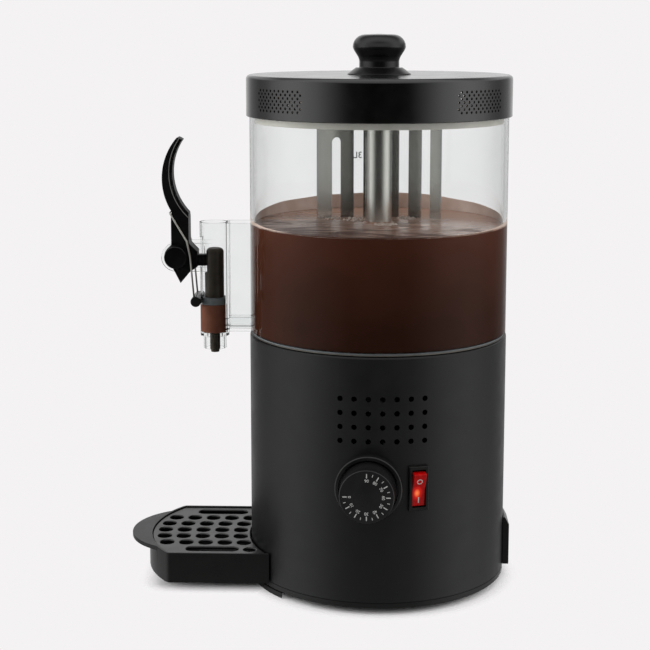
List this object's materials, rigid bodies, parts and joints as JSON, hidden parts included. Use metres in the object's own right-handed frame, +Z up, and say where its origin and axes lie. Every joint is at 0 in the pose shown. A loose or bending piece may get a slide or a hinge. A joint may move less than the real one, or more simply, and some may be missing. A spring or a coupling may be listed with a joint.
{
  "type": "hot chocolate dispenser",
  "caption": "Countertop hot drink dispenser with a lift-off clear bowl, geared stirrer, sprung tap lever, thermostat dial, rocker switch and pull-out drip tray.",
  "frame": {"origin": "on the body axis at the level of the surface that the base stands on", "axes": "+Z up along the body axis, -X toward the tap and the drip tray, -Y toward the controls"},
  "size_m": [0.2775, 0.2097, 0.393],
  "materials": {
    "black_paint": "satin powder coat",
    "black_plastic": "fine matt grain",
    "gloss_black": "polished",
    "foot_rubber": "matt",
    "seal_grey": "matt",
    "collar_grey": "matt",
    "clear_bowl": "clear polycarbonate, polished",
    "clear_tap": "clear polycarbonate, polished",
    "polished_steel": "polished stainless",
    "spring_steel": "drawn wire",
    "zinc_steel": "zinc plated",
    "stator_iron": "laminated",
    "cast_aluminium": "as cast",
    "element_sheath": "oxidised",
    "copper": "drawn tube",
    "brass": "bare",
    "gear_nylon": "moulded",
    "mineral_felt": "pressed fibre",
    "terminal_plastic": "moulded",
    "wire_sheath": "extruded",
    "red_plastic": "translucent, polished"
  },
  "bodies": {
    "base": {"base_plate": "black_plastic", "rear_feet": "foot_rubber", "tray_bracket": "black_plastic", "bracket_screws": "zinc_steel", "base_screws": "zinc_steel", "housing_shell": "black_paint", "thermostat_body": "zinc_steel", "thermostat_screws": "zinc_steel", "thermostat_bulb": "copper", "dial_bezel": "black_plastic", "switch_housing": "black_plastic", "switch_tabs": "brass", "inlet_cover": "black_plastic", "inlet_socket": "black_plastic", "inlet_pins": "brass", "heater_tray": "zinc_steel", "heater_plate": "cast_aluminium", "heat_insulation": "mineral_felt", "heating_element": "element_sheath", "thermal_cutout": "element_sheath", "gearbox_cover": "zinc_steel", "gearbox_housing": "zinc_steel", "gearbox_standoffs": "zinc_steel", "gearbox_screws": "zinc_steel", "shaft_bushes": "brass", "motor_housing": "zinc_steel", "motor_stator": "stator_iron", "terminal_block": "terminal_plastic", "wiring_loom": "wire_sheath"},
    "drive": {"drive_shaft": "polished_steel", "drive_gear": "gear_nylon"},
    "rotor": {"motor_rotor": "zinc_steel", "motor_pinion": "gear_nylon"},
    "bowl": {"bowl_floor": "polished_steel", "bowl_gasket": "seal_grey", "bowl_cylinder": "clear_bowl", "column_tube": "polished_steel", "column_bush": "gear_nylon", "tap_body": "clear_tap", "lever_pin": "black_plastic", "pin_cap": "black_plastic", "spring_anchor": "black_plastic", "lever_spring": "spring_steel"},
    "stirrer": {"stirrer_hub": "polished_steel", "stirrer_blade": "polished_steel"},
    "lid": {"lid_shell": "black_plastic", "lid_collar": "collar_grey", "lid_knob": "gloss_black", "knob_screw": "zinc_steel"},
    "lever": {"tap_lever": "gloss_black"},
    "piston": {"tap_piston": "black_plastic", "piston_seal": "seal_grey"},
    "dial": {"dial_knob": "gloss_black", "dial_spindle": "zinc_steel"},
    "rocker": {"switch_rocker": "red_plastic"},
    "tray": {"drip_tray": "black_plastic"},
    "grid": {"drip_grid": "black_plastic"}
  },
  "joints": [
    {"name": "drive_spin", "type": "hinge", "parent": "base", "child": "drive", "pos_m": [0, 0, 0.2], "axis": [0, 0, 1], "continuous": true},
    {"name": "rotor_spin", "type": "hinge", "parent": "base", "child": "rotor", "pos_m": [0, 0.032, 0.1], "axis": [0, 0, 1], "continuous": true},
    {"name": "bowl_lift", "type": "slide", "parent": "base", "child": "bowl", "axis": [0, 0, 1], "range_m": [0, 0.17]},
    {"name": "stirrer_spin", "type": "hinge", "parent": "bowl", "child": "stirrer", "pos_m": [0, 0, 0.26], "axis": [0, 0, 1], "continuous": true},
    {"name": "lid_lift", "type": "slide", "parent": "bowl", "child": "lid", "axis": [0, 0, 1], "range_m": [0, 0.1]},
    {"name": "lever_turn", "type": "hinge", "parent": "bowl", "child": "lever", "pos_m": [-0.1453, 0, 0.2343], "axis": [0, -1, 0], "range_deg": [0, 30], "stiffness_Nm_per_rad": 0.15, "springref_deg": -14.32, "deforming": ["lever_spring"]},
    {"name": "piston_slide", "type": "slide", "parent": "bowl", "child": "piston", "axis": [0, 0, 1], "range_m": [0, 0.01315]},
    {"name": "dial_turn", "type": "hinge", "parent": "base", "child": "dial", "pos_m": [-0.006, -0.0923, 0.09], "axis": [-0.0648, -0.9979, 0], "range_deg": [0, 270]},
    {"name": "rocker_tip", "type": "hinge", "parent": "base", "child": "rocker", "pos_m": [0.02694, -0.08692, 0.089], "axis": [-0.9552, -0.296, 0], "range_deg": [0, 24]},
    {"name": "tray_slide", "type": "slide", "parent": "base", "child": "tray", "axis": [-1, 0, 0], "range_m": [0, 0.09]},
    {"name": "grid_lift", "type": "slide", "parent": "tray", "child": "grid", "axis": [0, 0, 1], "range_m": [0, 0.04]}
  ],
  "couplings": [
    {"joint": "rotor_spin", "follows": "drive_spin", "ratio": -3},
    {"joint": "stirrer_spin", "follows": "drive_spin", "ratio": 1},
    {"joint": "piston_slide", "follows": "lever_turn", "m_per_rad": 0.0251}
  ]
}
